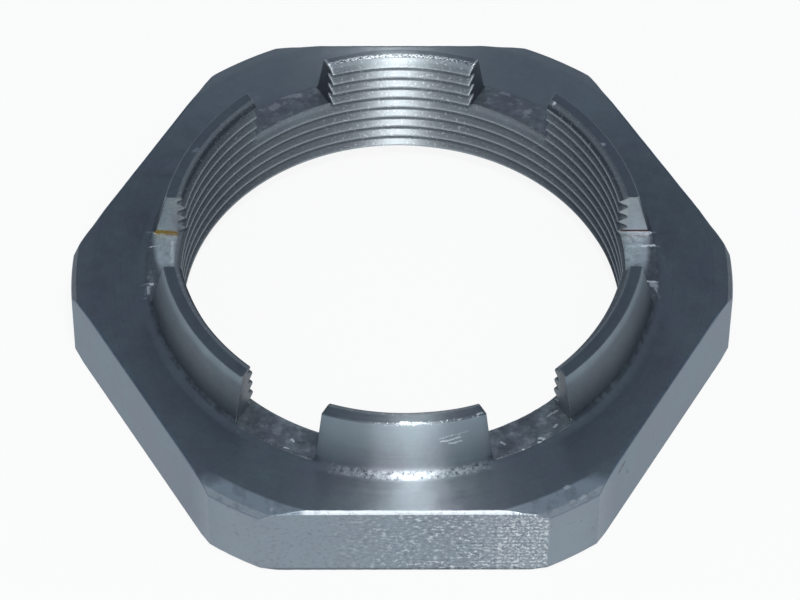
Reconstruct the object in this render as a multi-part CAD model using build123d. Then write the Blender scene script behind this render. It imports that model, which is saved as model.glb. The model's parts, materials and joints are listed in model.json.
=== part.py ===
from build123d import *
from math import ceil, cos, radians, sin, sqrt, tan
import os

os.makedirs("parts", exist_ok=True)

# A castellated hexagon nut for a wheel hub, machined from one piece of steel. It stands on its
# bearing face: the origin is that face's centre and +Z is the thread's axis, towards the crown.
# One of the six flats faces -Y.

# Hexagon body
across_flats = 118.0
corner_turned_off = 3.0     # taken off each sharp corner where the blank was turned round
body_height = 18.8          # bearing face to the flat top of the hexagon
flat_edge_radius = 0.6      # worn round on the top edge of each flat

# Chamfers on the turned corners, all measured inwards and downwards from the corner's edge
top_bevel_width = 4.0       # shallow cone, from the corner in to the top face
top_bevel_drop = 1.0
edge_bevel_width = 1.0      # steeper band along the corner's own edge
edge_bevel_drop = 1.3
bottom_bevel_width = 1.4
bottom_bevel_height = 0.8

# Thread, right-handed with 60 degree flanks
thread_dia = 90.0
thread_pitch = 3.0
thread_crest = 0.75         # width of the land on each crest, a quarter of the pitch
thread_root = 0.375         # width of the flat in each root, an eighth of the pitch
thread_start = 0.45         # height of the groove's middle where it starts, on the +X side
bottom_lead_in = 5.4        # 45 degree countersink in the bearing face
crown_edge_break = 1.1      # 45 degree break at the bore's upper edge

# Crown
crown_height = 12.0         # above the hexagon's top face
crown_wall = 2.2            # steel outside the thread's major diameter, at the crown's top
crown_lean = 13.2           # degrees that the crown's outer wall leans in towards its top
crown_foot_radius = 2.5
crown_foot_steps = 5        # short cones that make up the foot's curve, to keep the mesh light
crown_rim_break = 0.35      # worn edge of the crown's outer rim

# Slots for the split pin, one over each corner of the hexagon
slot_count = 6
slot_width = 17.4
slot_floor_rise = 0.8       # slot floor above the hexagon's top face

# Worked out from the sizes above
thread_triangle = thread_pitch * sqrt(3) / 2
bore_r = thread_dia / 2 - thread_triangle * 5 / 8
corner_r = across_flats / 2 / cos(radians(30)) - corner_turned_off
crown_top = body_height + crown_height
thread_turns = ceil(crown_top / thread_pitch + 0.5)
crown_top_r = thread_dia / 2 + crown_wall
crown_foot_r = crown_top_r + crown_height * tan(radians(crown_lean))
slot_floor = body_height + slot_floor_rise


def foot_curve():
    # Points along the crown's foot radius, from the top face round to the leaning wall.
    sweep_angle = radians(90 - crown_lean)
    start_r = crown_foot_r + crown_foot_radius * tan(sweep_angle / 2)
    turns = [sweep_angle * step / crown_foot_steps for step in range(crown_foot_steps + 1)]
    return [
        (start_r - crown_foot_radius * sin(turn), body_height + crown_foot_radius * (1 - cos(turn)))
        for turn in turns
    ]


def turned_section():
    # Half section of the turned blank in the XZ plane, from the bearing face round to the bore.
    outline = Polyline(
        (bore_r + bottom_lead_in, 0),
        (corner_r - bottom_bevel_width, 0),
        (corner_r, bottom_bevel_height),
        (corner_r, body_height - top_bevel_drop - edge_bevel_drop),
        (corner_r - edge_bevel_width, body_height - top_bevel_drop),
        (corner_r - top_bevel_width, body_height),
        *foot_curve(),
        (crown_top_r, crown_top),
        (bore_r + crown_edge_break, crown_top),
        (bore_r, crown_top - crown_edge_break),
        (bore_r, bottom_lead_in),
        close=True,
    )
    section = make_face(outline)
    rim = section.vertices().sort_by_distance((crown_top_r, crown_top))[0]
    section = chamfer(rim, crown_rim_break)
    return Plane.XZ * section


def hexagon_prism():
    # Tall hexagonal bar with a flat facing -Y, which cuts the flats out of the turned blank.
    bar = RegularPolygon(across_flats / 2, 6, major_radius=False)
    return extrude(bar, crown_top)


def slot_cutters():
    # Each cutter runs right across the crown and leaves two opposite slots with parallel walls.
    length = 2 * (crown_foot_r + crown_foot_radius)
    depth = crown_top - slot_floor
    on_floor = (Align.CENTER, Align.CENTER, Align.MIN)
    cutter = Pos(0, 0, slot_floor) * Box(length, slot_width, depth, align=on_floor)
    cuts = slot_count // 2
    return [Rot(0, 0, 180 / cuts * turn) * cutter for turn in range(cuts)]


def thread_groove():
    # The groove between the thread's turns, swept along a helix that starts below the thread and
    # ends above the crown. It begins a little inside the bore, so that it cuts clean through.
    inside = 0.3
    mouth = (thread_pitch - thread_crest) / 2 + inside * tan(radians(30))
    section = Polyline(
        (bore_r - inside, -mouth),
        (thread_dia / 2, -thread_root / 2),
        (thread_dia / 2, thread_root / 2),
        (bore_r - inside, mouth),
        close=True,
    )
    path = Helix(thread_pitch, thread_turns * thread_pitch, bore_r)
    groove = sweep(Plane.XZ * make_face(section), path=path, is_frenet=True)
    return Pos(0, 0, thread_start) * groove


def worn_flat_edges(nut):
    # The six straight edges where a flat meets the top face.
    straight = nut.edges().filter_by(GeomType.LINE)
    return straight.filter_by(lambda edge: abs(edge.center().Z - body_height) < flat_edge_radius / 2)


hub_nut = revolve(turned_section(), Axis.Z) & hexagon_prism()
hub_nut = fillet(worn_flat_edges(hub_nut), flat_edge_radius)
hub_nut = hub_nut - slot_cutters()
hub_nut = hub_nut - thread_groove()

print("bore radius", round(bore_r, 3), "corner radius", round(corner_r, 3), "crown top", crown_top)
export_step(hub_nut, "parts/hub_nut.step")
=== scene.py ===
import json
from math import pi, radians, sqrt, tan

import bmesh
import bpy
import numpy as np
from mathutils import Matrix, Vector


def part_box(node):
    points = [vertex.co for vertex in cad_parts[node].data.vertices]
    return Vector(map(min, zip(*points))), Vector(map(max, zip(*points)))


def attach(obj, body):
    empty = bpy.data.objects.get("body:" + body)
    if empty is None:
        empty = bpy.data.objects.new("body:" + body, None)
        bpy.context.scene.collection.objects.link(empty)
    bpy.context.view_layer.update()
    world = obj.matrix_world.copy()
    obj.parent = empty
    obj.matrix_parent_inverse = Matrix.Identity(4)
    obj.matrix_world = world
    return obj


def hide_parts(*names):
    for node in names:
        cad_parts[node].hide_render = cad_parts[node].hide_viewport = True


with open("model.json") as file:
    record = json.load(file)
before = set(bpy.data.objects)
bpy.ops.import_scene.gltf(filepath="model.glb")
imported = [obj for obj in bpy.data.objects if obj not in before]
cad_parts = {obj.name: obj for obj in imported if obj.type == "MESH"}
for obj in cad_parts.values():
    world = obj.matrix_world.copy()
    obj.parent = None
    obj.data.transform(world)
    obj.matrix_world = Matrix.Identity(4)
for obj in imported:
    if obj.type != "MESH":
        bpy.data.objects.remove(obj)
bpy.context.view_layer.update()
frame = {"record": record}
print("frame loaded")

# A castellated hub nut: one machined piece, built here as one closed surface with its thread cut.
# Sizes are in millimetres and angles in degrees unless a line says otherwise. The thread's axis
# is Z, slots lie over the corners at 0, 60 ... degrees, and the front flat faces -Y.

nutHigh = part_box("hub_nut")[1]
mounts = {mount["name"]: mount for mount in frame["record"]["mounts"]}

body = {
    "flatRadius": nutHigh[1] * 1000,        # axis to a flat
    "cornerRadius": nutHigh[0] * 1000,      # turned corners
    "topHeight": 18.8,                      # flat top of the hexagon
    "coneWidth": 4.0,                       # shallow cone, in from the turned corners
    "coneDrop": 1.0,
    "bandWidth": 1.0,                       # steeper band along the corners' edges
    "bandDrop": 1.3,
    "bottomWidth": 1.4,
    "bottomRise": 0.8,
    "flatEdge": 0.6,                        # worn round on the flats' top edges
    "cornerEdge": 0.2,
    "edgeBlend": (2.9, 1.7),                # where one gives way to the other, in from the corner
    "bottomEdge": 0.3,
    "edgeWear": 0.06,                       # unevenness of the rounded edges, as a share of them
    "bottomWear": 0.1,
}
crown = {
    "top": nutHigh[2] * 1000,
    "rimRadius": 47.2,                      # outer wall at the top, before its edge is rounded
    "lean": 13.2,                           # degrees inwards from upright
    "rimRound": 0.5,
    "footRound": 2.5,
    "endRound": 0.3,                        # upright edges at both ends of a lug
    "endFade": 0.8,                         # height over which they grow, up from the slot floor
    "mouthFade": 0.6,                       # and over which the thread's end bends into the top
    "slotWidth": 17.4,
    "slotFloor": 19.6,
    "floorRound": 0.15,
    "floorGrain": 1.6,                      # length of the waves in the slot floors
    "floorWear": 0.05,                      # and their height
    "burr": 0.06,                           # along the slot floors' inner edge
    "burrPlace": 0.9,                       # share of the way in
    "burrWidth": 0.04,                      # the same share
    "slotCount": 6,
}
thread = {
    "crest": mounts["thread"]["dims"]["r_mm"],
    "depth": 1.624,                         # five eighths of the 60 degree triangle's height
    "pitch": 3.0,
    "crestHeight": 1.95,                    # middle of a crest at angle 0, right-handed
    "crestLand": 0.45,
    "leadIn": 5.4,                          # 45 degree countersink in the bearing face
    "mouthBreak": 1.1,                      # 45 degree break at the crown's top
    "mouthRound": 1.5,                      # rounds the edge between the break and the top
}
detail = {
    "slotColumns": 9,                       # steps in each part of a slot's half width
    "lugColumns": 22,
    "underRows": 5,
    "sideRows": 8,
    "roundRows": 6,
    "coneRows": 3,
    "topRows": 9,
    "footRows": 10,
    "lugFootRows": 5,
    "wallRows": 8,
    "acrossRows": 5,
    "floorRows": 14,
    "countersinkRows": 4,
    "weldDistance": 2e-6,                   # metres
    "sharpAngle": 21,
}

crown["foot"] = crown["rimRadius"] + (crown["top"] - body["topHeight"]) * tan(radians(crown["lean"]))
sector = radians(360 / crown["slotCount"])
halfSector = sector / 2


# Shared shapes

def ramp(value, low, high):
    # 0 below low, 1 above high, with a smooth S between them.
    share = np.clip((value - low) / (high - low), 0, 1)
    return share * share * (3 - 2 * share)


def ripple(values, seed, lowest, waves=7):
    # A sum of sines with whole numbers of periods in a turn, so it closes on itself. It stays
    # between about -1 and 1.
    draw = np.random.default_rng(seed)
    total = np.zeros_like(values)
    for count in lowest + draw.choice(lowest * 6 + 20, waves, replace=False):
        total = total + np.sin(values * count + draw.uniform(0, 2 * pi))
    return total / sqrt(waves)


def unevenness(x, y, seed, length, waves=14):
    # A sum of plane sine waves in random directions, about one wave per length.
    draw = np.random.default_rng(seed)
    total = np.zeros_like(x)
    for turn, size, phase in zip(*draw.uniform((0, 0.6, 0), (2 * pi, 1.7, 2 * pi), (waves, 3)).T):
        reach = 2 * pi / (length * size)
        total = total + np.sin((x * np.cos(turn) + y * np.sin(turn)) * reach + phase)
    return total / sqrt(waves)


def between(start, end, count, last=False):
    # Rows of (radius, height) laid evenly from one curve to another. Without last, the end row is
    # left to the next block.
    share = np.linspace(0, 1, count, endpoint=last)[:, None]
    return [a + (b - a) * share for a, b in zip(start, end)]


def stack(blocks):
    # Joins blocks of rows into one grid of radii and one of heights.
    return [np.concatenate(part) for part in zip(*blocks)]


# Columns: place 0 is a slot's middle, 1 its wall, 2 the middle of the lug beside it.

def wallAngle(radius):
    # The slots' walls are parallel: the sine of their angle is half the width over the radius.
    return np.arcsin(crown["slotWidth"] / 2 / np.minimum(radius, crown["foot"] + crown["footRound"]))


def angleAt(place, middle, radius):
    # Angle of a column at a radius: the slot's share and the lug's share are each divided evenly.
    away = np.abs(place)
    wall = wallAngle(radius)
    inSlot = away * wall
    inLug = wall + (away - 1) * (halfSector - wall)
    return middle + np.sign(place) * np.where(away <= 1, inSlot, inLug)


def boreAngle(place, middle):
    # Angle of a column in the middle of the thread's flanks.
    return angleAt(place, middle, thread["crest"] + 0.5)


def lugArc():
    # Length round the crown's rim from a slot's wall to the lug's middle.
    return crown["rimRadius"] * (halfSector - wallAngle(crown["rimRadius"]))


def halfPlaces():
    # Columns from a slot's middle to a lug's: closer where a flat meets its corner and at the wall.
    cornerHalf = np.arccos(body["flatRadius"] / body["cornerRadius"])
    edge = (halfSector - cornerHalf) / wallAngle(body["cornerRadius"])
    nearEdge = 0.012
    inner = np.linspace(0, edge - nearEdge, detail["slotColumns"])
    outer = np.linspace(edge + nearEdge, 0.97, detail["slotColumns"])
    turn = np.radians([0, 30, 60, 90])
    rounded = 1 + crown["endRound"] / lugArc() * (1 - np.cos(turn))
    lug = np.linspace(rounded[-1], 2, detail["lugColumns"] + 1)[1:]
    return np.concatenate([inner, [edge], outer, rounded, lug])


def polarPoints(radius, height, place, middle):
    # x and y are the radius times the cosine and sine of the column's angle, z is the height.
    angle = angleAt(place, middle, radius)
    return np.stack([radius * np.cos(angle), radius * np.sin(angle), height], -1)


# Outer surface

def outerRadius(angle):
    # The hexagon's flats cut the turned corners: flat distance over the cosine from the flat's middle.
    fromFlat = np.mod(angle, sector) - halfSector
    return np.minimum(body["flatRadius"] / np.cos(fromFlat), body["cornerRadius"])


def topSurface(radius):
    # Flat, then the shallow cone, then the steeper band.
    corner = body["cornerRadius"]
    stops = [0, corner - body["coneWidth"], corner - body["bandWidth"], corner]
    drops = [0, 0, body["coneDrop"], body["coneDrop"] + body["bandDrop"]]
    return body["topHeight"] - np.interp(radius, stops, drops)


def bottomSurface(radius):
    # Flat, then the bevel under the turned corners.
    corner = body["cornerRadius"]
    return np.interp(radius, [corner - body["bottomWidth"], corner], [0, body["bottomRise"]])


def slotShare(place):
    # 1 inside a slot, 0 from its walls on.
    return 1 - ramp(np.abs(place), 0.93, 1.0)


def footArc(startHeight, endHeight, count):
    # The arc that touches the top face and the leaning wall, between two heights.
    foot = crown["footRound"]
    start = crown["foot"] + foot * tan((pi / 2 - radians(crown["lean"])) / 2)
    sweeps = [np.arccos(1 - (height - body["topHeight"]) / foot) for height in (startHeight, endHeight)]
    sweep = sweeps[0] + (sweeps[1] - sweeps[0]) * np.linspace(0, 1, count)[:, None]
    return [start - foot * np.sin(sweep), body["topHeight"] + foot * (1 - np.cos(sweep))]


def outerShell(middle, place):
    # From the countersink's edge out across the bearing face, up the side, in across the top and
    # up the crown's foot to the level of the slot floors.
    flat = np.zeros_like(place)
    corner = body["cornerRadius"]
    angle = angleAt(place, middle, corner)
    reach = outerRadius(angle)
    onFlat = 1 - ramp(reach, corner - body["edgeBlend"][0], corner - body["edgeBlend"][1])
    edge = body["cornerEdge"] + (body["flatEdge"] - body["cornerEdge"]) * onFlat
    edge = edge * (1 + body["edgeWear"] * ripple(angle, 3, 20))
    lower = body["bottomEdge"] * (1 + body["bottomWear"] * ripple(angle, 4, 20))
    countersink = thread["crest"] + thread["leadIn"]
    quarter = np.linspace(0, pi / 2, detail["roundRows"] + 1)[:, None]

    lowRound = [reach - lower + lower * np.sin(quarter)]
    lowRound.append(bottomSurface(lowRound[0]) + lower * (1 - np.cos(quarter)))
    highRound = [reach - edge + edge * np.sin(quarter[::-1])]
    highRound.append(topSurface(highRound[0]) - edge * (1 - np.cos(quarter[::-1])))
    bottomStart = np.minimum(corner - body["bottomWidth"], lowRound[0][0] - 0.2)
    roundEnd = highRound[0][-1]
    bandStart = np.minimum(corner - body["bandWidth"], roundEnd - 0.1)
    coneStart = np.minimum(corner - body["coneWidth"], roundEnd - 0.2)
    foot = footArc(body["topHeight"] + flat, crown["slotFloor"] - crown["floorRound"] * slotShare(place),
                   detail["footRows"])

    under = stack([
        between([countersink + flat, flat], [bottomStart, flat], detail["underRows"]),
        between([bottomStart, flat], [lowRound[0][0], lowRound[1][0]], 2),
        lowRound,
    ])
    side = stack([
        [part[-1:] for part in lowRound],
        between([reach, lowRound[1][-1] + 0.15], [reach, highRound[1][0] - 0.15],
                detail["sideRows"], last=True),
        highRound,
    ])
    above = stack([
        [part[-1:] for part in highRound],
        between([roundEnd - 0.05, topSurface(roundEnd - 0.05)], [bandStart, topSurface(bandStart)], 2),
        between([bandStart, topSurface(bandStart)], [coneStart, topSurface(coneStart)],
                detail["coneRows"]),
        between([coneStart, topSurface(coneStart)], [foot[0][0] + 0.2, body["topHeight"] + flat],
                detail["topRows"], last=True),
        foot,
    ])
    return [polarPoints(*rows, place, middle) for rows in (under, side, above)]


# Thread

def mouthRadius(height):
    # The break at the crown's top: 45 degrees, and an arc where it meets the top face.
    rim = thread["crest"] + thread["mouthBreak"]
    bend = thread["mouthRound"]
    centre = rim + bend * tan(pi / 8)
    arc = centre - np.sqrt(np.maximum(bend ** 2 - (height - crown["top"] + bend) ** 2, 0))
    return np.where(height > crown["top"] - bend * (1 - sqrt(0.5)), arc, rim - (crown["top"] - height))


def threadRadius(angle, height):
    # Distance along the axis from the nearest crest's middle. Past the crest's land the 60 degree
    # flank goes root three times as deep, down to the root. The breaks at both ends cut it back.
    along = (height - thread["crestHeight"]) / thread["pitch"] - angle / (2 * pi)
    away = np.abs(along - np.round(along)) * thread["pitch"]
    depth = np.clip((away - thread["crestLand"] / 2) * sqrt(3), 0, thread["depth"])
    countersink = thread["crest"] + thread["leadIn"] - height
    return np.maximum(np.maximum(thread["crest"] + depth, countersink), mouthRadius(height))


def threadRows(angle, low, high, level):
    # Rows follow the helix at the corners of its profile, level rows follow the breaks, and all
    # stop at the lower and upper limits. The upper half of a profile has two rows round the land's
    # edge, one on the flank and one at the root.
    land = thread["crestLand"] / 2
    rootEdge = land + thread["depth"] / sqrt(3)
    upper = np.array([land - 0.07, land + 0.05, 0.85, rootEdge])
    corners = np.concatenate([-upper[::-1], upper])
    first = np.floor((np.min(low) - thread["crestHeight"]) / thread["pitch"] - np.max(angle) / (2 * pi)) - 1
    last = np.ceil((np.max(high) - thread["crestHeight"]) / thread["pitch"] - np.min(angle) / (2 * pi)) + 1
    turns = np.arange(last, first - 1, -1)[:, None] * thread["pitch"]
    heights = (turns + corners[::-1][None, :]).reshape(-1, 1) + thread["crestHeight"]
    heights = heights + angle * thread["pitch"] / (2 * pi)
    heights = np.concatenate([heights, np.array(level)[:, None] + 0 * angle[None, :]])
    heights = -np.sort(-np.clip(heights, low, high), axis=0)
    return np.concatenate([(high + 0 * angle)[None], heights, (low + 0 * angle)[None]])


def boreShell(middle, place):
    # Down the thread from the level of the slot floors, then out along the countersink.
    flat = np.zeros_like(place)
    angle = boreAngle(place, middle)
    high = crown["slotFloor"] - crown["floorRound"] * slotShare(place)
    low = thread["leadIn"] - 2.0 + flat
    countersink = thread["crest"] + thread["leadIn"]
    heights = threadRows(angle, low, high, thread["leadIn"] - np.array([0.0, 0.4, 0.8, 1.2, 1.6]))
    radii = threadRadius(angle, heights)
    mouth = between([radii[-1], low], [countersink + flat, flat], detail["countersinkRows"], last=True)
    return polarPoints(*stack([[radii, heights], mouth]), place, middle)


# Lugs and slots

def lugShell(middle, place):
    # Up the leaning wall, over the rounded rim and in across the top, then down the thread. Near
    # the lug's ends the whole profile draws in by a quarter round.
    flat = np.zeros_like(place)
    angle = boreAngle(place, middle)
    lean = radians(crown["lean"])
    rim = crown["rimRound"]
    rimTop = crown["rimRadius"] - rim / tan((pi / 2 + lean) / 2)
    footTop = body["topHeight"] + crown["footRound"] * (1 - np.sin(lean))
    foot = footArc(crown["slotFloor"] + flat, footTop + flat, detail["lugFootRows"])
    sweep = np.linspace(pi / 2 - lean, 0, detail["roundRows"] + 1)[:, None]
    rimArc = [rimTop + rim * np.sin(sweep) + flat, crown["top"] - rim * (1 - np.cos(sweep)) + flat]
    wall = between([foot[0][-1], foot[1][-1]], [rimArc[0][0], rimArc[1][0]], detail["wallRows"])
    mouth = mouthRadius(np.array(crown["top"]))
    across = between([rimTop - 0.1 + flat, crown["top"] + flat], [mouth + flat, crown["top"] + flat],
                     detail["acrossRows"], last=True)
    level = crown["top"] - thread["mouthBreak"] * np.array([0.02, 0.06, 0.13, 0.25, 0.4, 0.6, 0.8, 1.0])
    heights = threadRows(angle, crown["slotFloor"] + flat, crown["top"] + flat, level)
    parts = [[part[:-1] for part in foot], wall, rimArc, across, [threadRadius(angle, heights), heights]]
    radii, heights = stack(parts)

    # Draw in: outer wall inwards, top down and thread outwards, fading out at the slot floor.
    counts = [len(part[0]) for part in parts]
    topStart = counts[0] + counts[1]
    threadStart = topStart + counts[2] + counts[3]
    overRim = np.clip((np.arange(len(radii)) - topStart) / (counts[2] - 1), 0, 1)[:, None]
    belowTop = np.clip((crown["top"] - heights) / crown["mouthFade"], 0, 1)
    onThread = (np.arange(len(radii)) >= threadStart)[:, None]
    inward = np.where(onThread, -belowTop, 1 - overRim)
    downward = np.where(onThread, 1 - belowTop, overRim)
    share = np.clip(1 - (np.abs(place) - 1) * lugArc() / crown["endRound"], 0, 1)
    drawn = crown["endRound"] * (1 - np.sqrt(1 - share ** 2))
    drawn = drawn * ramp(heights, crown["slotFloor"], crown["slotFloor"] + crown["endFade"])
    points = polarPoints(radii - inward * drawn, heights - downward * drawn, place, middle)
    return points[:threadStart + 1], points[threadStart:]


def slotFloor(middle, place):
    # From the foot's arc in to the thread, with soft edges and the cutter's roughness between.
    flat = np.zeros_like(place)
    angle = boreAngle(place, middle)
    soft = crown["floorRound"] * slotShare(place)
    floor = crown["slotFloor"] + flat
    outer = footArc(floor - soft, floor, 2)
    inner = threadRadius(angle, floor - soft)
    turn = np.radians([90, 60, 30, 0])[:, None]
    innerArc = [inner + soft * (1 - np.cos(turn)), floor - soft * (1 - np.sin(turn))]
    across = between([outer[0][1] - soft, floor], [innerArc[0][0], floor], detail["floorRows"])
    radii, heights = stack([[part[:1] for part in outer], across, innerArc])
    points = polarPoints(radii, heights, place, middle)
    along = np.linspace(0, 1, len(radii))[:, None]
    calm = slotShare(place) * ramp(along, 0.08, 0.2) * ramp(1 - along, 0.05, 0.16)
    rough = unevenness(points[..., 0], points[..., 1], 21, crown["floorGrain"]) * crown["floorWear"]
    burr = np.exp(-((along - crown["burrPlace"]) / crown["burrWidth"]) ** 2) * slotShare(place)
    burr = burr * crown["burr"] * (1 + ripple(angle, 23, 30))
    points[..., 2] += rough * calm + burr
    return points


def nutPatches():
    # Lists (points, material) for every grid, and the outline of each flat lug end.
    half = halfPlaces()
    whole = np.concatenate([-half[:0:-1], half])
    slotHalf = half[half <= 1]
    slotPlaces = np.concatenate([-slotHalf[:0:-1], slotHalf])
    lugHalf = half[half >= 1]
    grids = []
    ends = []
    for middle in np.arange(crown["slotCount"]) * sector:
        under, side, above = outerShell(middle, whole)
        floor = slotFloor(middle, slotPlaces)
        after, afterThread = lugShell(middle, lugHalf)
        before, beforeThread = lugShell(middle, -lugHalf[::-1])
        grids += [(under, "under"), (side, "side"), (above, "top"), (boreShell(middle, whole), "thread"),
                  (floor, "slot"), (after, "top"), (before, "top"), (afterThread, "thread"),
                  (beforeThread, "thread")]
        ends.append(np.concatenate([after[:, 0], afterThread[:, 0], floor[::-1, -1]]))
        ends.append(np.concatenate([before[:, -1], beforeThread[:, -1], floor[::-1, 0]])[::-1])
    return grids, ends


def gridFaces(shape, start):
    # Four corners of each cell of a grid of points.
    numbers = start + np.arange(shape[0] * shape[1]).reshape(shape[:2])
    cells = [numbers[:-1, :-1], numbers[:-1, 1:], numbers[1:, 1:], numbers[1:, :-1]]
    return np.stack(cells, -1).reshape(-1, 4)


def buildMesh(name, grids, ends, materials):
    # Four-cornered faces for the grids, and one flat face for each lug end.
    points = []
    corners = []
    sizes = []
    kinds = []
    start = 0
    for grid, kind in grids:
        faces = gridFaces(grid.shape, start)
        points.append(grid.reshape(-1, 3))
        corners.append(faces.ravel())
        sizes.append(np.full(len(faces), 4))
        kinds.append(np.full(len(faces), materials.index(kind)))
        start += grid.shape[0] * grid.shape[1]
    for loop in ends:
        # Points that coincide with the one before are left out.
        steps = np.linalg.norm(loop - np.roll(loop, 1, 0), axis=1)
        loop = loop[steps > 1e-3]
        points.append(loop)
        corners.append(start + np.arange(len(loop)))
        sizes.append(np.array([len(loop)]))
        kinds.append(np.array([materials.index("end")]))
        start += len(loop)
    points = np.concatenate(points)
    corners = np.concatenate(corners)
    sizes = np.concatenate(sizes)
    mesh = bpy.data.meshes.new(name)
    mesh.vertices.add(len(points))
    mesh.vertices.foreach_set("co", (points / 1000).ravel())
    mesh.loops.add(len(corners))
    mesh.loops.foreach_set("vertex_index", corners)
    mesh.polygons.add(len(sizes))
    mesh.polygons.foreach_set("loop_start", np.concatenate([[0], np.cumsum(sizes)[:-1]]))
    mesh.polygons.foreach_set("loop_total", sizes)
    mesh.polygons.foreach_set("material_index", np.concatenate(kinds))
    mesh.polygons.foreach_set("use_smooth", sizes == 4)
    mesh.update(calc_edges=True)
    mesh.validate()
    return mesh


def weld(mesh, distance):
    # Joins the grids along their shared edges, and prints whether any edge is still open.
    work = bmesh.new()
    work.from_mesh(mesh)
    bmesh.ops.remove_doubles(work, verts=work.verts, dist=distance)
    bmesh.ops.dissolve_degenerate(work, edges=work.edges, dist=distance)
    bmesh.ops.recalc_face_normals(work, faces=work.faces)
    loose = [edge for edge in work.edges if len(edge.link_faces) != 2]
    triangles = sum(len(face.verts) - 2 for face in work.faces)
    print("nut:", len(work.verts), "vertices,", triangles, "triangles,", len(loose), "open edges, volume",
          round(work.calc_volume() * 1e9), "mm3")
    work.to_mesh(mesh)
    work.free()


def makeNut():
    # The whole nut as one mesh, with a material slot for each kind of surface.
    materials = ["top", "side", "under", "thread", "slot", "end"]
    grids, ends = nutPatches()
    mesh = buildMesh("nut_visual", grids, ends, materials)
    weld(mesh, detail["weldDistance"])
    mesh.set_sharp_from_angle(angle=radians(detail["sharpAngle"]))
    piece = bpy.data.objects.new("nut_visual", mesh)
    bpy.context.scene.collection.objects.link(piece)
    return piece, materials


nutPiece, nutKinds = makeNut()


# Shader building

class Wire:
    # One value, vector or colour in a material's nodes. Arithmetic on it adds the nodes it needs.

    def __init__(self, tree, socket=None):
        self.tree = tree
        self.socket = socket

    def node(self, kind, settings, inputs, output=0):
        # Adds a node of any kind: its settings first, then the values or links of its sockets.
        made = self.tree.nodes.new(kind)
        for name, value in settings.items():
            setattr(made, name, value)
        for name, value in inputs.items():
            if isinstance(value, Wire):
                self.tree.links.new(value.socket, made.inputs[name])
            else:
                made.inputs[name].default_value = value
        return Wire(self.tree, made.outputs[output])

    def math(self, operation, first, second=0.0):
        return self.node("ShaderNodeMath", {"operation": operation}, {0: first, 1: second})

    def __add__(self, other):
        return self.math("ADD", self, other)

    def __sub__(self, other):
        return self.math("SUBTRACT", self, other)

    def __rsub__(self, other):
        return self.math("SUBTRACT", other, self)

    def __mul__(self, other):
        return self.math("MULTIPLY", self, other)

    __radd__ = __add__
    __rmul__ = __mul__

    def larger(self, other):
        return self.math("MAXIMUM", self, other)

    def size(self):
        return self.math("ABSOLUTE", self)

    def sine(self):
        return self.math("SINE", self)

    def ramp(self, low, high):
        # 0 at low, 1 at high, smooth between; low may be the larger one.
        return self.node("ShaderNodeMapRange", {"interpolation_type": "SMOOTHSTEP"},
                         {"Value": self, "From Min": low, "From Max": high})

    def band(self, low, high, soft):
        # 1 between low and high, fading to 0 over the soft width outside them.
        return self.ramp(low - soft, low) * self.ramp(high + soft, high)

    def vector(self, operation, other=None, output=0):
        inputs = {0: self} if other is None else {0: self, 1: other}
        return self.node("ShaderNodeVectorMath", {"operation": operation}, inputs, output)

    def scaled(self, factor):
        return self.node("ShaderNodeVectorMath", {"operation": "SCALE"}, {0: self, "Scale": factor})

    def joined(self, x, y, z):
        return self.node("ShaderNodeCombineXYZ", {}, {0: x, 1: y, 2: z})

    def axes(self):
        # The x, y and z of this vector.
        return [self.node("ShaderNodeSeparateXYZ", {}, {0: self}, index) for index in range(3)]

    def fromAxis(self):
        # Distance from the Z axis.
        return self.vector("MULTIPLY", (1, 1, 0)).vector("LENGTH", None, "Value")

    def noise(self, scale, detail, roughness):
        return self.node("ShaderNodeTexNoise", {}, {"Vector": self, "Scale": scale, "Detail": detail,
                                                    "Roughness": roughness})

    def mix(self, low, high):
        # This wire picks between two colours.
        return self.node("ShaderNodeMix", {"data_type": "RGBA"}, {0: self, 6: low, 7: high}, 2)

    def stroke(self, start, end, width):
        # 1 on the straight line from start to end, 0 from the width on.
        step = Vector(end) - Vector(start)
        offset = self.vector("SUBTRACT", start)
        along = offset.vector("DOT_PRODUCT", step / max(step.length_squared, 1e-6), "Value")
        share = self.node("ShaderNodeClamp", {}, {"Value": along})
        nearest = self.node("ShaderNodeVectorMath", {"operation": "SCALE"}, {0: tuple(step), "Scale": share})
        away = offset.vector("DISTANCE", nearest, "Value")
        return away.ramp(width, width * 0.35)

    def strokes(self, marks):
        # The strongest of several strokes, with edges made ragged by a shift of up to 0.4 mm. Each
        # mark is start, end, width and strength.
        shift = self.node("ShaderNodeTexNoise", {}, {"Vector": self, "Scale": 1.4}, "Color").scaled(0.8)
        ragged = self.vector("ADD", shift.vector("SUBTRACT", (0.4, 0.4, 0.4)))
        total = 0.0
        for start, end, width, strength in marks:
            total = (ragged.stroke(start, end, width) * strength).larger(total)
        return total


steel = {
    "tone": (0.205, 0.230, 0.250, 1),
    "pale": (0.52, 0.57, 0.60, 1),          # bare worn metal, and painted light
    "bright": (0.90, 0.94, 0.96, 1),        # edges that catch the light
    "dark": (0.035, 0.042, 0.055, 1),       # painted shade in corners and recesses, and dark marks and pits
    "rust": (0.36, 0.24, 0.05, 1),
    "oldRust": (0.10, 0.035, 0.02, 1),
}
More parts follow.
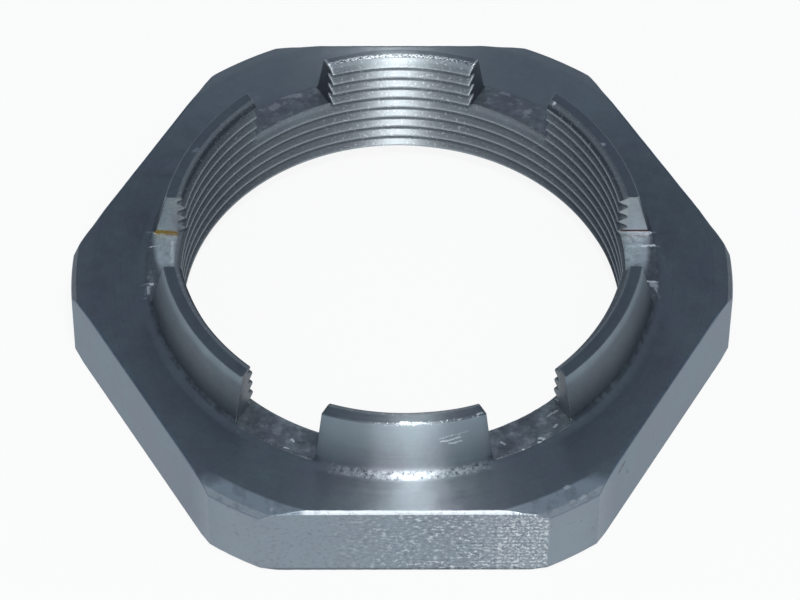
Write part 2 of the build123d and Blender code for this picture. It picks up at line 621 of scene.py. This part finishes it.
# Marks are (start, end, width, strength), with places on the surface in millimetres.
scratches = [
    ((44.8, 8.3, 19.6), (48.6, 8.4, 19.6), 0.55, 0.5),
    ((49.0, 8.7, 19.7), (50.2, 9.2, 19.0), 0.35, 0.9),
    ((47.3, 5.3, 19.6), (49.8, 5.5, 19.6), 0.35, 0.9),
    ((49.8, 5.5, 19.5), (50.6, 5.6, 19.1), 0.4, 0.8),
    ((-50.4, 9.5, 18.9), (-48.4, 8.7, 19.8), 0.4, 0.9),
    ((-49.9, 5.2, 19.4), (-48.6, 5.4, 19.6), 0.3, 0.6),
    ((-51.0, -4.0, 18.9), (-48.9, -4.2, 19.6), 0.4, 0.7),
    ((-49.7, -5.0, 19.3), (-49.9, -6.4, 19.2), 0.8, 0.45),
    ((-50.4, -7.2, 18.9), (-49.9, -7.4, 19.0), 0.4, 0.8),
    ((48.2, -3.7, 19.6), (50.2, -3.8, 19.5), 0.3, 0.7),
    ((48.8, -4.4, 19.6), (50.0, -4.8, 19.5), 0.75, 0.4),
    ((49.6, -5.4, 19.5), (50.3, -7.2, 19.2), 0.5, 0.35),
]


def startSteel(name):
    # A new material, and the place on the nut in millimetres.
    material = bpy.data.materials.new(name)
    material.use_nodes = True
    place = Wire(material.node_tree).node("ShaderNodeTexCoord", {}, {}, "Object").scaled(1000)
    return material, place


def endSteel(material, colour, roughness, height, depth, brushed=0.0, metal=1.0):
    # Height runs from 0 to 1 over a depth in millimetres. Brushed steel spreads light across its
    # turning marks, which run round the Z axis.
    shader = material.node_tree.nodes["Principled BSDF"]
    shader.inputs["Metallic"].default_value = metal
    shader.inputs["Anisotropic"].default_value = brushed
    shader.inputs["Anisotropic Rotation"].default_value = 0.25
    links = material.node_tree.links
    links.new(colour.socket, shader.inputs["Base Color"])
    links.new(roughness.socket, shader.inputs["Roughness"])
    bump = height.node("ShaderNodeBump", {}, {"Height": height, "Distance": depth / 1000})
    links.new(bump.socket, shader.inputs["Normal"])
    return material


def shade(colour, amount, tone):
    # Mixes a tone into a colour by an amount between 0 and 1.
    return amount.mix(colour, tone)


def clouds(place):
    # Cloudy patches between 0 and 1, with finer ones over them.
    broad = place.noise(0.11, 3.0, 0.6).ramp(0.25, 0.75)
    fine = place.noise(1.1, 3.0, 0.65).ramp(0.3, 0.7)
    return broad * 0.6 + fine * 0.4


def mottled(patches, spread, tone):
    # A tone that follows the patches, a little greener where they are light.
    tints = ((1.04, 0.97, 1.04), (0.96, 1.03, 0.98))
    low, high = [tuple(value * part * (1 + way * spread) for value, part in zip(tone, tint)) + (1,)
                 for tint, way in zip(tints, (-1, 1))]
    return patches.mix(low, high)


turned = {
    "spread": 0.10,
    "roughness": 0.355,
    "patchRoughness": 0.22,
    "grooveRoughness": 0.08,
    "markRoughness": 0.25,
    "brushed": 1.0,
    "relief": 0.02,                         # depth of the turning marks
    "grooveScale": 2.4,                     # turning marks per millimetre, roughly
    "grooveDark": 0.12,
    "backPale": 0.25,                       # painted light's share at the back
    "streakPale": 0.16,                     # painted highlight at the front, beside the streak of light
    "frontPale": 0.07,
    "coneRadius": (61.0, 61.6),             # the front corners' cones, which get painted light
    "conePale": 0.65,
    "conePatches": 0.45,
    "wallTone": (0.44, 0.54, 0.60, 1),      # painted light on the crown's wall: high up, along its upper edge and at the front
    "wallUpper": 0.25,
    "wallEdge": 0.3,
    "wallFront": 0.36,
    "wallDark": 0.35,                       # painted shade towards the foot
    "seamDark": 0.35,                       # painted shade in a broken line along the foot, but for the front lug
    "crownGrime": 0.1,                      # painted shade on the crown's top, away from the back
    "footRing": (50.3, 51.2),               # chattered ring before the front lug
    "chatterPale": 0.6,
    "chatterDark": 0.7,
    "rimRing": (46.7, 46.82),               # painted highlight specks along the front lug's rim
    "rimBright": 0.8,
    "tornRing": (46.2, 45.6),               # torn inner edge of the back lug, painted with glints
    # Painted highlights: glints on the front lug's rim and on nicks.
    "bright": [
        ((-0.9, -46.8, 30.8), (1.0, -46.8, 30.8), 0.4, 1.0),
        ((1.6, -46.8, 30.8), (3.2, -46.7, 30.8), 0.25, 0.8),
        ((14.0, -44.7, 30.8), (14.7, -44.5, 30.8), 0.3, 0.8),
        ((30.6, -53.1, 18.6), (31.3, -52.9, 18.6), 0.55, 1.0),
        ((33.7, -54.8, 17.6), (34.4, -54.4, 17.6), 0.5, 1.0),
        ((31.7, -55.7, 17.8), (32.2, -55.5, 17.8), 0.45, 0.9),
        ((39.7, 22.2, 30.8), (39.9, 22.0, 30.8), 0.5, 0.8),
        ((-25.2, -57.8, 18.0), (-25.1, -57.7, 18.1), 0.5, 0.8),
    ],
    "pale": [
        ((6.8, -47.6, 26.9), (9.1, -47.1, 27.4), 0.22, 0.8),
        ((7.0, -47.8, 26.1), (8.6, -47.5, 26.3), 0.3, 1.0),
        ((9.0, -47.4, 26.4), (10.6, -47.0, 26.6), 0.3, 1.0),
        ((8.5, -47.7, 25.4), (10.8, -47.2, 25.6), 0.28, 0.9),
        ((9.6, -47.0, 27.3), (12.1, -46.4, 27.7), 0.22, 0.6),
        ((-14.2, -49.6, 18.9), (-13.4, -48.1, 19.9), 0.35, 0.3),
        ((-12.9, -49.8, 18.9), (-12.3, -48.7, 19.6), 0.3, 0.35),
        ((-9.5, -49.9, 19.2), (-8.9, -49.2, 19.8), 0.3, 0.6),
        ((14.4, -49.3, 18.9), (14.9, -47.9, 19.8), 0.3, 0.4),
        ((12.4, -49.4, 19.2), (13.3, -48.7, 19.6), 0.3, 0.5),
        ((-29.1, 44.7, 18.8), (-47.2, 25.2, 18.8), 1.2, 0.15),
        ((-40.9, 20.4, 30.8), (-40.3, 21.0, 30.8), 0.55, 0.9),
    ],
}


def makeTop():
    # Turned top face, cones, foot and the crown's outer wall and top.
    material, place = startSteel("steelTurned")
    x, y, z = place.axes()
    radius = place.fromAxis()
    colour = mottled(clouds(place), turned["spread"], steel["tone"])
    along = place.joined((radius + z * 0.7) * turned["grooveScale"], x * 0.06, y * 0.06)
    groove = along.noise(1.0, 3.0, 0.6)
    grain = place.noise(2.5, 3.0, 0.7)
    specks = place.noise(2.4, 2.0, 0.6)
    patches = place.noise(0.4, 3.0, 0.65)
    colour = shade(colour, groove.ramp(0.5, 0.25) * turned["grooveDark"], steel["dark"])

    # Painted light: lighter at the back, at the front beside the streak, and on the front corners' cones.
    lighter = y.ramp(15, 50) * turned["backPale"]
    lighter = lighter.larger(y.ramp(-30, -50) * x.size().ramp(38, 6) * turned["streakPale"])
    lighter = lighter.larger(y.ramp(-5, -40) * turned["frontPale"])
    onCone = radius.ramp(*turned["coneRadius"]) * y.ramp(-48, -53)
    conePatches = place.noise(0.35, 3.0, 0.7).ramp(0.35, 0.6) * turned["conePatches"]
    lighter = lighter.larger(onCone * (turned["conePale"] + conePatches))
    colour = shade(colour, lighter * z.ramp(20.5, 19.5), steel["pale"])

    # Painted light and shade on the crown's wall: darker towards its foot, and pale along its upper edge and
    # at the front.
    onWall = z.ramp(19.8, 20.8) * z.ramp(30.7, 30.4)
    lower = z.ramp(25.0, 19.0) * x.size().ramp(10, 25) * turned["wallDark"]
    upper = z.ramp(22.0, 31.0) * turned["wallUpper"]
    edge = z.band(29.6, 30.3, 1.6) * x.size().ramp(14, 26) * turned["wallEdge"]
    front = y.ramp(-38, -44) * x.size().ramp(2, 14) * turned["wallFront"]
    colour = shade(colour, onWall * lower, steel["dark"])
    colour = shade(colour, onWall * (upper + edge + front), turned["wallTone"])
    # Painted shade: a broken dark line in the crease along the foot of all lugs but the front one, and the
    # crown's top darker away from the back.
    footShade = z.band(19.7, 20.4, 0.5) * (1 - y.ramp(-38, -44) * x.size().ramp(17, 15))
    colour = shade(colour, footShade * (0.1 + patches.ramp(0.4, 0.55) * turned["seamDark"]), steel["dark"])
    colour = shade(colour, z.ramp(30.35, 30.7) * y.ramp(30, 5) * turned["crownGrime"], steel["dark"])

    # Chatter in the foot's curve at the front: dark pits, and pale specks and a faint paleness that are
    # painted highlight where the crescent of light falls; painted highlight specks on the rim at the front;
    # and a torn inner edge on the back lug's top, painted with glints.
    foot = y.ramp(-42, -47) * z.ramp(20.4, 20.0) * x.band(-10.0, 13.0, 6.0)
    foot = foot * radius.band(*turned["footRing"], 0.5)
    chatter = place.noise(1.3, 3.0, 0.7)
    colour = shade(colour, foot * (0.08 + chatter.ramp(0.48, 0.6) * turned["chatterPale"]), steel["pale"])
    colour = shade(colour, foot * chatter.ramp(0.45, 0.36) * turned["chatterDark"], steel["dark"])
    rim = z.ramp(30.35, 30.45) * radius.ramp(*turned["rimRing"]) * y.ramp(-42.5, -43.5)
    rim = rim * x.band(-5.5, 15.0, 1.0) * specks.ramp(0.54, 0.66) * turned["rimBright"]
    tornGlints = z.ramp(30.4, 30.6) * y.ramp(41, 44.5) * radius.ramp(*turned["tornRing"])
    tornGlints = tornGlints * specks.ramp(0.44, 0.56)

    pale = place.strokes(turned["pale"] + scratches)
    # Painted highlights: the bright strokes, the torn edge's glints and the rim's specks.
    bright = place.strokes(turned["bright"]).larger(tornGlints).larger(rim)
    colour = shade(shade(colour, pale, steel["pale"]), bright, steel["bright"])
    roughness = turned["roughness"] + (patches - 0.5) * turned["patchRoughness"]
    roughness = roughness + (groove - 0.5) * turned["grooveRoughness"]
    roughness = roughness + pale.larger(bright) * turned["markRoughness"]
    height = groove * 0.7 + grain * 0.3
    return endSteel(material, colour, roughness, height, turned["relief"], turned["brushed"])


milled = {
    "spread": 0.14,
    "roughness": 0.46,
    "tone": (0.190, 0.237, 0.288),
    "relief": 0.04,
    "frontPale": 0.27,                      # painted light's share on the front faces
    "dashStart": -20.0,                     # the front flat's dashes thicken from here
    "dashEnd": 11.0,                        # to here
    "dashBright": 0.7,
    "dashDark": 0.5,
    "rowStart": 11.0,                       # and run in rows from here
    "rowEnd": 22.0,
    "rowSpacing": 1.1,
    "rowWaver": 9.0,
    "rowBright": 0.65,
    "flatEnd": 27.8,                        # right end of the milled flat
    "speckDark": 0.3,
    "lowerDark": 0.5,                       # line along the front flat's lower edge
    "upperDark": 0.35,                      # along the other flats' upper edges
    "edgeStart": -18.5,                     # painted highlight along the front flat's worn top edge
    "edgeEnd": 19.8,
    "pale": [
        ((27.3, -59.0, 8.0), (27.3, -59.0, 16.0), 0.7, 0.15),
        ((26.0, -56.5, 17.2), (33.0, -55.0, 17.0), 0.3, 0.2),
    ],
    "dark": [
        ((-18.0, -59.0, 12.0), (-17.6, -59.0, 11.8), 0.4, 0.25),
        ((-32.0, -56.7, 9.2), (-31.7, -56.9, 9.0), 0.5, 0.2),
        ((41.4, -46.4, 14.8), (42.3, -44.8, 15.4), 0.6, 0.7),
        ((43.0, -43.5, 11.2), (43.2, -43.2, 10.2), 0.4, 0.35),
        ((6.0, -59.0, 12.6), (6.5, -59.0, 12.4), 0.4, 0.2),
        ((-24.6, -58.9, 17.9), (-24.3, -58.9, 17.8), 0.3, 0.5),
        ((-11.5, -59.0, 18.0), (-9.5, -59.0, 17.9), 0.35, 0.3),
    ],
}


def makeSide():
    # Milled flats and turned corners; the front flat keeps the cutter's dashes.
    material, place = startSteel("steelMilled")
    x, y, z = place.axes()
    mixed = clouds(place)
    colour = mottled(mixed, milled["spread"], milled["tone"])
    # Painted light: the front faces are lighter.
    colour = shade(colour, y.ramp(-46, -57) * milled["frontPale"], steel["pale"])

    grain = place.noise(2.0, 3.0, 0.7)
    front = -body["flatRadius"]
    onFront = y.ramp(front + 0.7, front + 0.4) * x.ramp(milled["flatEnd"], milled["flatEnd"] - 0.6)
    patches = place.noise(0.25, 2.0, 0.5).ramp(0.35, 0.6)
    dashes = place.joined(x * 0.9, 0.0, z * 1.3).noise(1.0, 3.0, 0.65)
    amount = onFront * x.ramp(milled["dashStart"], milled["dashEnd"]) * (0.4 + patches * 0.6)
    shadows = dashes.ramp(0.46, 0.36) * amount.larger(onFront * 0.4)
    rows = (z * (2 * pi / milled["rowSpacing"]) + grain * milled["rowWaver"]).sine().ramp(-1.0, 0.6)
    rowDashes = place.joined(x * 1.8, 0.0, z * 1.6).noise(1.0, 2.0, 0.6).ramp(0.46, 0.6) * rows
    rowDashes = rowDashes * onFront * x.ramp(milled["rowStart"], milled["rowEnd"])
    # The cutter's dashes: their bright parts are painted glints and their dark parts painted shadows.
    colour = shade(colour, dashes.ramp(0.53, 0.62) * amount * milled["dashBright"], steel["bright"])
    colour = shade(colour, shadows * milled["dashDark"], steel["dark"])
    colour = shade(colour, rowDashes * milled["rowBright"], steel["bright"])
    specks = place.noise(1.1, 3.0, 0.65).ramp(0.38, 0.28)
    colour = shade(colour, specks * milled["speckDark"], steel["dark"])
    colour = shade(colour, onFront * z.ramp(1.1, 0.6) * milled["lowerDark"], steel["dark"])
    colour = shade(colour, z.ramp(18.1, 18.5) * y.ramp(-56.5, -55.5) * milled["upperDark"], steel["dark"])

    # A painted highlight along the front flat's worn top edge.
    edge = z.ramp(17.95, 18.2) * y.ramp(-57.8, -58.3) * x.band(milled["edgeStart"], milled["edgeEnd"], 1.5)
    edge = edge * (0.65 + place.noise(0.9, 3.0, 0.7).ramp(0.36, 0.5) * 0.35)
    colour = shade(colour, place.strokes(milled["pale"]), steel["pale"])
    colour = shade(colour, place.strokes(milled["dark"]), steel["dark"])
    colour = shade(colour, edge, steel["bright"])
    height = grain * 0.4 + dashes * amount * 0.6
    roughness = milled["roughness"] + (mixed - 0.5) * 0.1 + edge * 0.2
    return endSteel(material, colour, roughness, height, milled["relief"])


bearing = {
    "spread": 0.10,
    "roughness": 0.38,
    "grooveRoughness": 0.2,
    "grooveScale": 2.0,
    "relief": 0.04,
}


def makeUnder():
    # Turned bearing face.
    material, place = startSteel("steelBearing")
    x, y = place.axes()[:2]
    colour = mottled(clouds(place), bearing["spread"], steel["tone"])
    along = place.joined(place.fromAxis() * bearing["grooveScale"], x * 0.06, y * 0.06)
    groove = along.noise(1.0, 3.0, 0.6)
    roughness = bearing["roughness"] + (groove - 0.5) * bearing["grooveRoughness"]
    return endSteel(material, colour, roughness, groove, bearing["relief"])


cut = {
    "tone": (0.265, 0.29, 0.305),
    "spread": 0.14,
    "roughness": 0.40,
    "brushed": 1.0,
    "metal": 0.6,
    "relief": 0.03,
    "corePale": 0.4,                        # painted highlight in the middle of the streak of light at the back
    "sideDark": 0.5,
    "mouthDark": 0.82,                      # painted shade on the break at the top, but for the back lug
    "rootPale": 0.3,
    "crestPale": 0.5,
    "nick": ((30.1, 32.8, 30.6), (30.5, 33.1, 30.7), 0.5),
}


def makeThread():
    # Cut thread: torn specks painted bright as glints, fine lines along the turns.
    material, place = startSteel("steelThread")
    x, y, z = place.axes()
    radius = place.fromAxis()
    depth = radius - thread["crest"]
    colour = mottled(clouds(place), cut["spread"], cut["tone"])
    lines = place.joined((z + radius) * 4.0, x * 0.1, y * 0.1).noise(1.0, 2.0, 0.6)
    specks = place.noise(1.9, 2.0, 0.6)
    atBack = y.ramp(36, 42)
    tornGlints = specks.ramp(0.58, 0.68) * (0.15 + atBack * x.size().ramp(20, 8) * 0.45)
    # Painted light and shade: a pale core where the streak of light falls at the back, darker sides, a dark
    # break at the top but for the back lug, paler roots and crests.
    core = atBack * x.band(-4.0, 2.0, 7.0)
    colour = shade(colour, core * cut["corePale"], steel["pale"])
    colour = shade(colour, x.size().ramp(18, 38) * cut["sideDark"], steel["dark"])
    colour = shade(colour, z.ramp(29.2, 29.8) * y.ramp(41, 38) * cut["mouthDark"], steel["dark"])
    colour = shade(colour, depth.ramp(0.6, 1.2) * cut["rootPale"], steel["pale"])
    colour = shade(colour, depth.ramp(0.2, 0.05) * cut["crestPale"], steel["pale"])
    colour = shade(colour, tornGlints.larger(place.stroke(*cut["nick"])), steel["bright"])
    height = lines * 0.5 + specks * 0.5
    roughness = cut["roughness"] + tornGlints * 0.15
    return endSteel(material, colour, roughness, height, cut["relief"], cut["brushed"], cut["metal"])


floors = {
    "tone": (0.165, 0.185, 0.205),
    "paleTone": (0.44, 0.485, 0.51),        # the two slots on the X axis
    "spread": 0.15,
    "roughness": 0.5,
    "metal": 0.8,
    "relief": 0.12,
    "axisDark": 0.4,                        # those two slots round their pale patches
    "edgeDark": 0.5,                        # outer edge of the front slots
    "bits": [
        ((-21.5, -42.3, 19.7), (-20.9, -42.7, 19.7), 0.35, 0.8),
        ((-22.6, -44.2, 19.6), (-22.0, -44.4, 19.6), 0.3, 0.7),
        ((18.7, -43.0, 19.6), (19.3, -43.4, 19.6), 0.35, 0.45),
        ((26.0, -42.0, 19.6), (26.6, -42.2, 19.6), 0.45, 0.6),
        ((25.9, -43.0, 19.5), (26.5, -43.1, 19.5), 0.35, 0.45),
        ((22.7, -44.6, 19.5), (23.4, -44.8, 19.5), 0.35, 0.45),
        ((28.9, -39.4, 19.6), (29.4, -38.8, 19.6), 0.35, 0.45),
        ((29.5, -35.4, 19.6), (27.6, -36.8, 19.6), 0.3, 0.4),
        ((-26.0, 41.2, 19.6), (-25.0, 42.0, 19.6), 1.0, 0.18),
        ((-24.2, 44.3, 19.5), (-20.4, 44.7, 19.6), 0.8, 0.2),
        ((20.6, 45.3, 19.5), (21.6, 45.2, 19.5), 0.8, 0.15),
        ((25.2, 40.0, 19.6), (26.0, 40.5, 19.6), 0.8, 0.18),
        ((-45.3, 6.6, 19.6), (-45.2, 1.4, 19.6), 0.45, 0.3),
    ],
}
stains = [
    ((-48.6, 8.7, 20.2), (-46.4, 8.7, 20.0), 0.75, 1.0),
    ((-46.4, 8.7, 20.0), (-44.4, 8.5, 19.7), 0.7, 0.9),
]


def makeSlot():
    # Milled slot floors: dark and chipped, and pale in the two slots on the X axis.
    material, place = startSteel("steelSlot")
    x, y, z = place.axes()
    radius = place.fromAxis()
    mixed = clouds(place)
    colour = mottled(mixed, floors["spread"], floors["tone"])
    pale = mottled(mixed, floors["spread"], floors["paleTone"])
    chips = place.noise(0.6, 3.0, 0.6)
    waves = place.noise(0.32, 3.0, 0.6)
    atFront = y.ramp(0, -30)
    onAxis = x.size().ramp(38, 41)
    onPatch = onAxis * y.ramp(-3.0, 2.0) * (radius - y * 0.22).ramp(48.6, 47.2)
    colour = shade(colour, onAxis * floors["axisDark"], steel["dark"])
    colour = shade(colour, onPatch * (0.75 + chips.ramp(0.35, 0.55) * 0.25), pale)
    colour = shade(colour, waves.ramp(0.5, 0.66) * (0.1 + atFront * 0.12), steel["pale"])
    colour = shade(colour, waves.ramp(0.5, 0.36) * (0.1 + atFront * 0.2), steel["dark"])
    colour = shade(colour, chips.ramp(0.57, 0.68) * 0.2, steel["pale"])
    colour = shade(colour, chips.ramp(0.42, 0.32) * 0.25, steel["dark"])
    colour = shade(colour, radius.ramp(49.8, 50.0) * y.ramp(-25, -35) * floors["edgeDark"], steel["dark"])
    # Painted glints on chips and scratches.
    colour = shade(colour, place.strokes(floors["bits"] + scratches), steel["bright"])
    colour = shade(colour, place.strokes(stains) * chips.ramp(0.3, 0.5), steel["rust"])
    roughness = floors["roughness"] + (mixed - 0.5) * 0.1
    return endSteel(material, colour, roughness, chips, floors["relief"], 0.0, floors["metal"])


lugEnds = {
    "tone": (0.19, 0.21, 0.23),
    "spread": 0.12,
    "roughness": 0.5,
    "metal": 0.8,
    "relief": 0.04,
    "rightBright": 0.25,                    # painted light on the ends in the slot on the X axis's right
    "leftDark": 0.1,
    "backDark": 0.6,
    "markDark": 0.25,                       # level cutting marks
    "oldStain": ((43.4, 8.7, 20.3), (48.8, 8.7, 20.3), 0.4),
}


def makeEnd():
    # Flat ends of the lugs: pale in the two slots on the X axis, darker elsewhere, with painted light and
    # shade.
    material, place = startSteel("steelEnd")
    x, y, z = place.axes()
    mixed = clouds(place)
    colour = mottled(mixed, lugEnds["spread"], lugEnds["tone"])
    pale = mottled(mixed, lugEnds["spread"], floors["paleTone"])
    marks = place.joined(x * 0.4, y * 0.4, z * 2.5).noise(1.0, 3.0, 0.6)
    colour = shade(colour, x.size().ramp(36, 40), pale)
    # Painted light on the right ends, painted shade on the left ones and at the back.
    colour = shade(colour, x.ramp(36, 40) * lugEnds["rightBright"], steel["bright"])
    colour = shade(colour, x.ramp(-36, -40) * lugEnds["leftDark"], steel["dark"])
    colour = shade(colour, y.ramp(25, 35) * lugEnds["backDark"], steel["dark"])
    colour = shade(colour, marks.ramp(0.45, 0.3) * lugEnds["markDark"], steel["dark"])
    colour = shade(colour, place.strokes(stains), steel["rust"])
    colour = shade(colour, place.stroke(*lugEnds["oldStain"]), steel["oldRust"])
    roughness = lugEnds["roughness"] + (mixed - 0.5) * 0.1
    return endSteel(material, colour, roughness, marks, lugEnds["relief"], 0.0, lugEnds["metal"])


makers = {"top": makeTop, "side": makeSide, "under": makeUnder, "thread": makeThread, "slot": makeSlot,
          "end": makeEnd}
for kind in nutKinds:
    nutPiece.data.materials.append(makers[kind]())
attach(nutPiece, "root")
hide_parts("hub_nut")
print("steel made")


# Camera

view = {
    "elevation": 51.465,
    "turn": -0.739,
    "roll": 0.513,
    "distance": 0.97062,                    # metres from the origin's plane
    "right": -0.000331,
    "up": 0.005766,
    "lens": 218.79,                         # millimetres on a 36 mm sensor
}


def makeCamera():
    # Looks at the origin from its elevation and turn, then slides right and up by a little.
    turn = Matrix.Rotation(radians(view["turn"]), 4, "Z")
    tilt = Matrix.Rotation(radians(90 - view["elevation"]), 4, "X")
    roll = Matrix.Rotation(radians(view["roll"]), 4, "Z")
    offset = Matrix.Translation(Vector((view["right"], view["up"], view["distance"])))
    data = bpy.data.cameras.new("photoCamera")
    data.lens = view["lens"]
    data.sensor_width = 36
    data.clip_end = 20
    camera = bpy.data.objects.new("photoCamera", data)
    bpy.context.scene.collection.objects.link(camera)
    camera.matrix_world = turn @ tilt @ roll @ offset
    bpy.context.scene.camera = camera


makeCamera()
print("camera placed")


# Light and floor

studio = {
    "world": (0.27, 0.32, 0.39),
    "keyPlace": (0.055, -0.52, 1.15),
    "keySize": 0.12,
    "keyPower": 5.4,
    "aroundSize": 0.7,                      # wide soft light round the key
    "aroundPower": 1.5,
    "fillPlace": (0.03, -1.15, 0.22),
    "fillSize": 0.5,
    "fillPower": 2.6,
    "floorTone": 0.9,
    "floorGlow": 0.9,                       # share of plain white that the camera sees
    "floorMirrored": 0.6,                   # the same in reflections
}


def makeLamp(name, place, size, power):
    # A soft square lamp that faces the origin.
    data = bpy.data.lights.new(name, "AREA")
    data.shape = "SQUARE"
    data.size = size
    data.energy = power
    lamp = bpy.data.objects.new(name, data)
    lamp.location = place
    lamp.rotation_euler = (-Vector(place)).to_track_quat("-Z", "Y").to_euler()
    bpy.context.scene.collection.objects.link(lamp)


def makeFloor():
    # The camera and reflections see the floor partly as plain white, so its shadow stays faint.
    bpy.ops.mesh.primitive_plane_add(size=4, location=(0, 0, -0.0001))
    floor = bpy.context.object
    floor.name = "floor"
    material = bpy.data.materials.new("paleFloor")
    material.use_nodes = True
    tree = material.node_tree
    tone = (studio["floorTone"],) * 3 + (1,)
    tree.nodes.remove(tree.nodes["Principled BSDF"])
    start = Wire(tree)
    diffuse = start.node("ShaderNodeBsdfDiffuse", {}, {"Color": tone})
    glow = start.node("ShaderNodeEmission", {}, {"Color": (1, 1, 1, 1), "Strength": 1.0})
    seen = start.node("ShaderNodeLightPath", {}, {}, "Is Camera Ray")
    mirrored = start.node("ShaderNodeLightPath", {}, {}, "Is Glossy Ray")
    share = seen * studio["floorGlow"] + mirrored * studio["floorMirrored"]
    mixed = start.node("ShaderNodeMixShader", {}, {0: share, 1: diffuse, 2: glow})
    tree.links.new(mixed.socket, tree.nodes["Material Output"].inputs["Surface"])
    floor.data.materials.append(material)


def makeWorld():
    world = bpy.data.worlds.new("studio")
    world.use_nodes = True
    world.node_tree.nodes["Background"].inputs["Color"].default_value = studio["world"] + (1,)
    bpy.context.scene.world = world


makeLamp("key", studio["keyPlace"], studio["keySize"], studio["keyPower"])
makeLamp("around", studio["keyPlace"], studio["aroundSize"], studio["aroundPower"])
makeLamp("fill", studio["fillPlace"], studio["fillSize"], studio["fillPower"])
makeFloor()
makeWorld()
bpy.context.scene.view_settings.view_transform = "Standard"
print("light set")
